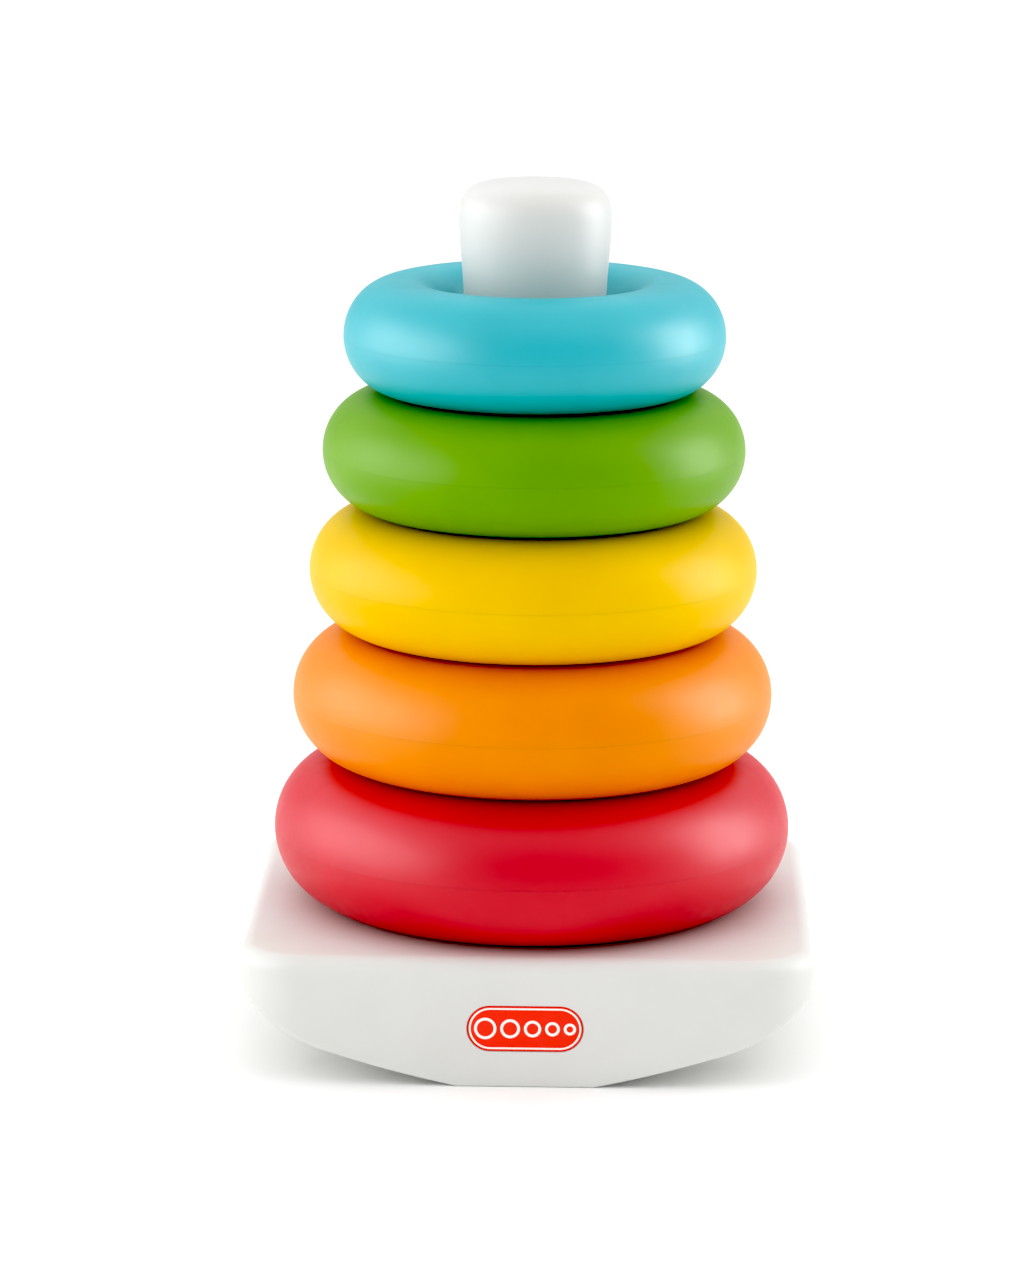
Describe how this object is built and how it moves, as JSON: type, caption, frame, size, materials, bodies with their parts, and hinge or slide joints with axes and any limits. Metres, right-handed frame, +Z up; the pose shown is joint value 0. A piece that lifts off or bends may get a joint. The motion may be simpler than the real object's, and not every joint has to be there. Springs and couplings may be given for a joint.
{
  "type": "stacking ring toy",
  "caption": "White rocker base with a centre post that holds hollow coloured rings, largest at the bottom, each free to lift off over the post's rounded head.",
  "frame": {"origin": "on the ground under the post's axis, at the middle of the base's flat keel", "axes": "+Z up along the post, X across the rocker from side to side, -Y towards the front wall that carries the label"},
  "size_m": [0.128, 0.1178, 0.1931],
  "materials": {
    "white_plastic": "satin moulded polypropylene, warm white",
    "red_plastic": "satin moulded polyethylene, red",
    "orange_plastic": "satin moulded polyethylene, orange",
    "yellow_plastic": "satin moulded polyethylene, yellow",
    "green_plastic": "satin moulded polyethylene, leaf green",
    "blue_plastic": "satin moulded polyethylene, sky blue",
    "screw_steel": "zinc-plated steel",
    "label_film": "printed red-orange film, satin"
  },
  "bodies": {
    "base": {"base_shell": "white_plastic", "bottom_cover": "white_plastic", "post": "white_plastic", "base_screws": "screw_steel", "front_label": "label_film"},
    "red_ring": {"red_ring_lower": "red_plastic", "red_ring_upper": "red_plastic"},
    "orange_ring": {"orange_ring_lower": "orange_plastic", "orange_ring_upper": "orange_plastic"},
    "yellow_ring": {"yellow_ring_lower": "yellow_plastic", "yellow_ring_upper": "yellow_plastic"},
    "green_ring": {"green_ring_lower": "green_plastic", "green_ring_upper": "green_plastic"},
    "blue_ring": {"blue_ring_lower": "blue_plastic", "blue_ring_upper": "blue_plastic"}
  },
  "joints": [
    {"name": "red_ring_lift", "type": "slide", "parent": "base", "child": "red_ring", "axis": [0, 0, 1], "range_m": [0, 0.175]},
    {"name": "orange_ring_lift", "type": "slide", "parent": "red_ring", "child": "orange_ring", "axis": [0, 0, 1], "range_m": [0, 0.143]},
    {"name": "yellow_ring_lift", "type": "slide", "parent": "orange_ring", "child": "yellow_ring", "axis": [0, 0, 1], "range_m": [0, 0.113]},
    {"name": "green_ring_lift", "type": "slide", "parent": "yellow_ring", "child": "green_ring", "axis": [0, 0, 1], "range_m": [0, 0.085]},
    {"name": "blue_ring_lift", "type": "slide", "parent": "green_ring", "child": "blue_ring", "axis": [0, 0, 1], "range_m": [0, 0.058]}
  ]
}
